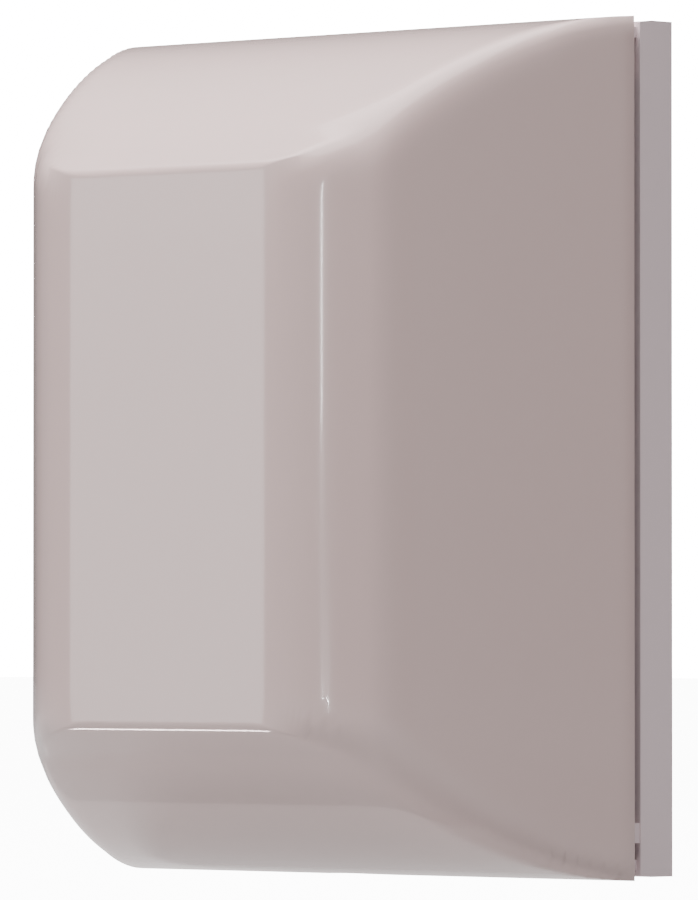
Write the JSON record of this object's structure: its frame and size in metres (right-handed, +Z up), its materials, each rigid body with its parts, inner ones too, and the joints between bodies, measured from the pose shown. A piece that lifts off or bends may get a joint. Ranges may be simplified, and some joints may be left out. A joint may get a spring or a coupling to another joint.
{
  "type": "garage door opener",
  "caption": "Wall-side roll-up door opener: milky hinged cover over a shallow tray with a geared motor, axle sleeve, output ring gear with drive legs, lamp and controls.",
  "frame": {"origin": "centre of the tray's flat back face", "axes": "+Z up as installed, -Y out of the cover's front, +X to the right seen from the front"},
  "size_m": [0.3074, 0.2055, 0.38],
  "materials": {
    "milky_cover": "smooth glossy milky polycarbonate",
    "tray_plastic": "satin moulded plastic",
    "steel": "turned and ground steel",
    "zinc_plate": "passivated zinc-plated sheet",
    "brass": "machined brass",
    "nylon": "moulded nylon",
    "dark_steel": "black-phosphated steel",
    "copper": "enamelled copper winding",
    "black_plastic": "moulded black plastic",
    "red_plastic": "moulded red plastic",
    "blue_plastic": "moulded blue plastic",
    "circuit_board": "green solder mask",
    "lamp_white": "white-coated lamp board",
    "lamp_lens": "clear moulded lens strip"
  },
  "bodies": {
    "base": {"back_tray": "tray_plastic", "hinge_pin_lower": "steel", "hinge_pin_upper": "steel", "chassis_plate": "zinc_plate", "chassis_screw_1": "steel", "chassis_screw_2": "steel", "chassis_screw_3": "steel", "chassis_screw_4": "steel", "axle_sleeve": "steel", "gear_bridge": "zinc_plate", "bridge_standoff_1": "brass", "bridge_standoff_2": "brass", "bridge_standoff_3": "brass", "motor_can": "dark_steel", "motor_end_cap": "black_plastic", "encoder_board": "circuit_board", "release_pivot_pin": "steel", "release_spring": "steel", "button_board": "circuit_board", "transformer_core": "dark_steel", "transformer_coil": "copper", "main_board": "circuit_board", "board_spacer_1": "nylon", "board_spacer_2": "nylon", "board_spacer_3": "nylon", "board_spacer_4": "nylon", "relay_open": "blue_plastic", "relay_close": "blue_plastic", "terminal_block": "blue_plastic", "fuse_holder": "black_plastic", "radio_module": "circuit_board", "capacitor": "black_plastic", "lamp_bracket": "zinc_plate", "lamp_board": "lamp_white", "lamp_lens_strip": "lamp_lens", "cord_grommet": "black_plastic", "motor_lead_red": "red_plastic", "motor_lead_black": "black_plastic"},
    "cover": {"front_cover": "milky_cover"},
    "output": {"sleeve_bush": "brass", "ring_gear": "nylon", "drive_leg_left": "dark_steel", "drive_leg_right": "dark_steel"},
    "layshaft": {"layshaft": "steel", "layshaft_pinion": "steel", "intermediate_gear": "nylon"},
    "motor_rotor": {"motor_armature": "copper", "motor_pinion": "steel", "encoder_disc": "black_plastic"},
    "release_slide": {"release_slide": "red_plastic"},
    "release_lever": {"release_lever": "zinc_plate"},
    "open_close_button": {"open_close_button": "red_plastic"},
    "lamp_button": {"lamp_button": "nylon"},
    "learn_button": {"learn_button": "blue_plastic"}
  },
  "joints": [
    {"name": "cover_swing", "type": "hinge", "parent": "base", "child": "cover", "pos_m": [-0.1509, -0.0234, 0], "axis": [0, 0, -1], "range_deg": [0, 100]},
    {"name": "output_spin", "type": "hinge", "parent": "base", "child": "output", "pos_m": [0, -0.011, 0.07], "axis": [0, 1, 0], "continuous": true},
    {"name": "layshaft_spin", "type": "hinge", "parent": "base", "child": "layshaft", "pos_m": [0.06187, -0.025, 0.00813], "axis": [0, 1, 0], "continuous": true},
    {"name": "motor_spin", "type": "hinge", "parent": "base", "child": "motor_rotor", "pos_m": [0.02026, -0.08, -0.02629], "axis": [0, 1, 0], "continuous": true},
    {"name": "release_pull", "type": "slide", "parent": "base", "child": "release_slide", "axis": [0, 0, -1], "range_m": [0, 0.01], "stiffness_N_per_m": 400, "springref_m": -0.01},
    {"name": "release_swing", "type": "hinge", "parent": "base", "child": "release_lever", "pos_m": [0.03, -0.013, -0.04], "axis": [0, 1, 0], "range_deg": [0, 20]},
    {"name": "open_close_press", "type": "slide", "parent": "base", "child": "open_close_button", "axis": [0, 0, 1], "range_m": [0, 0.0012], "stiffness_N_per_m": 300},
    {"name": "lamp_press", "type": "slide", "parent": "base", "child": "lamp_button", "axis": [0, 0, 1], "range_m": [0, 0.0012], "stiffness_N_per_m": 300},
    {"name": "learn_press", "type": "slide", "parent": "base", "child": "learn_button", "axis": [0, 0, 1], "range_m": [0, 0.0012], "stiffness_N_per_m": 300}
  ],
  "couplings": [
    {"joint": "layshaft_spin", "follows": "output_spin", "ratio": -4},
    {"joint": "motor_spin", "follows": "output_spin", "ratio": 20},
    {"joint": "release_swing", "follows": "release_pull", "rad_per_m": 30}
  ]
}
